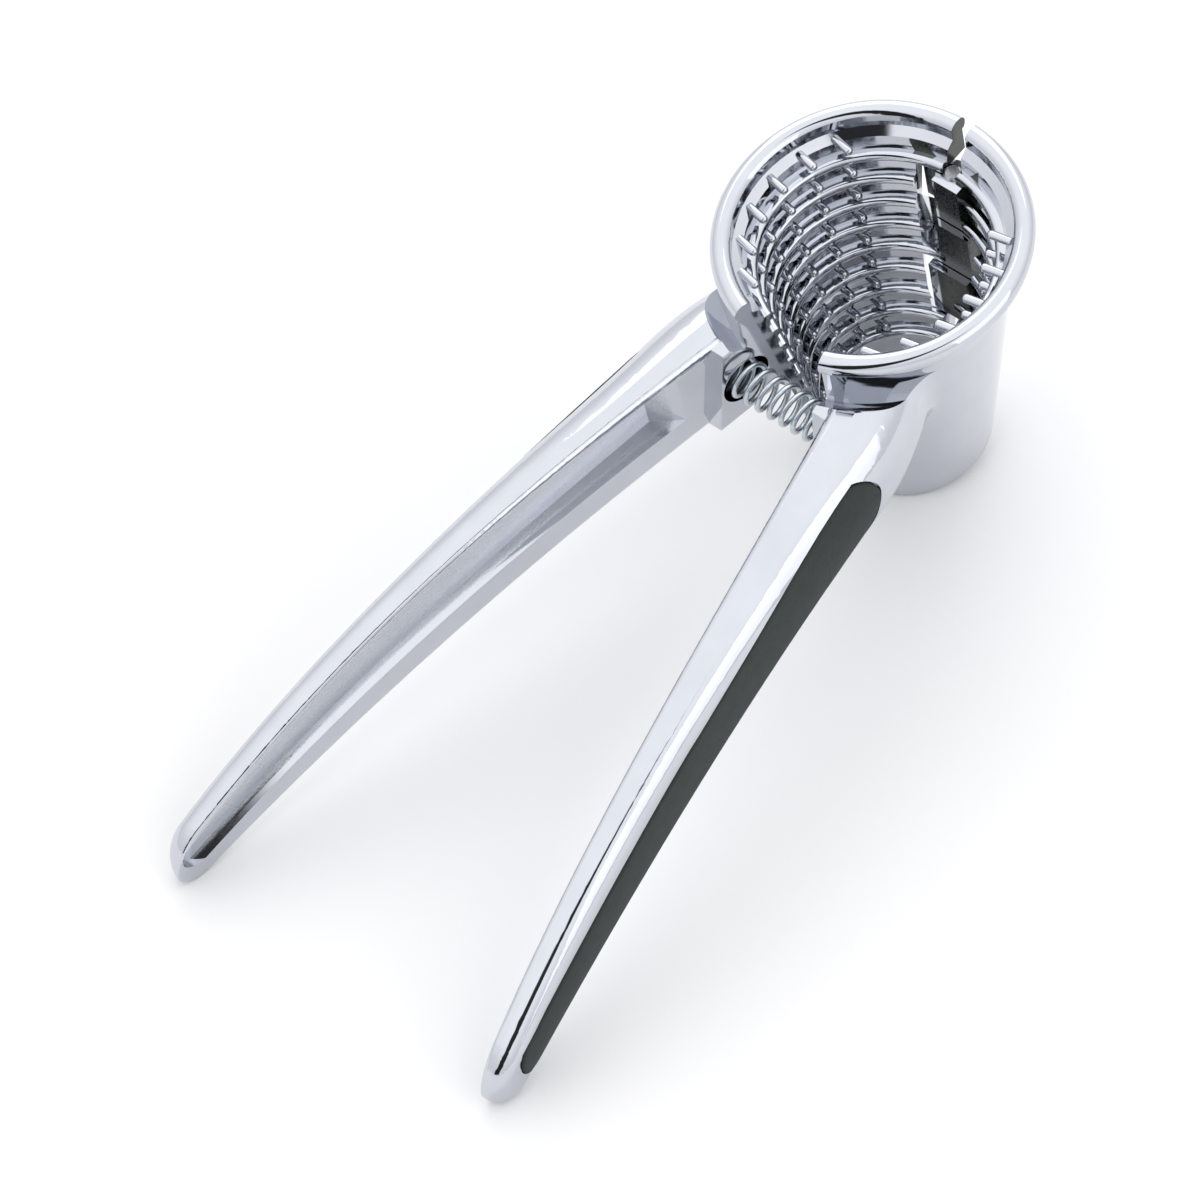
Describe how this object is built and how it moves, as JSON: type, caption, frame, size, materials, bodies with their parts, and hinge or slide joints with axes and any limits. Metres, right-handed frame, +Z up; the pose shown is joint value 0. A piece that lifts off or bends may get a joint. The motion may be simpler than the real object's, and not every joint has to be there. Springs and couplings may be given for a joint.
{
  "type": "funnel nutcracker",
  "caption": "Spring-opened nutcracker: a ribbed metal funnel split into halves, hinged on a pin at the back, with long curved handles and soft inlaid grips.",
  "frame": {"origin": "on the table under the middle of the tool's bounding box, as it lies on the funnel's front edge and the handle tips", "axes": "+X from the funnel to the handle tips, +Y to the lever that moves in the record's joint, +Z up from the table"},
  "size_m": [0.1654, 0.0716, 0.0633],
  "materials": {
    "chrome_plate": "polished",
    "soft_grip": "matte",
    "pin_steel": "satin",
    "spring_wire": "bright"
  },
  "bodies": {
    "left_half": {"left_lever": "chrome_plate", "left_grip": "soft_grip", "return_spring": "spring_wire"},
    "right_half": {"right_lever": "chrome_plate", "right_grip": "soft_grip", "hinge_pin": "pin_steel"}
  },
  "joints": [
    {"name": "squeeze_hinge", "type": "hinge", "parent": "left_half", "child": "right_half", "pos_m": [-0.07589, 0, 0.04321], "axis": [0.1669, 0, 0.986], "range_deg": [-20.6, 0], "stiffness_Nm_per_rad": 5, "springref_deg": 1.72, "deforming": ["return_spring"]}
  ]
}
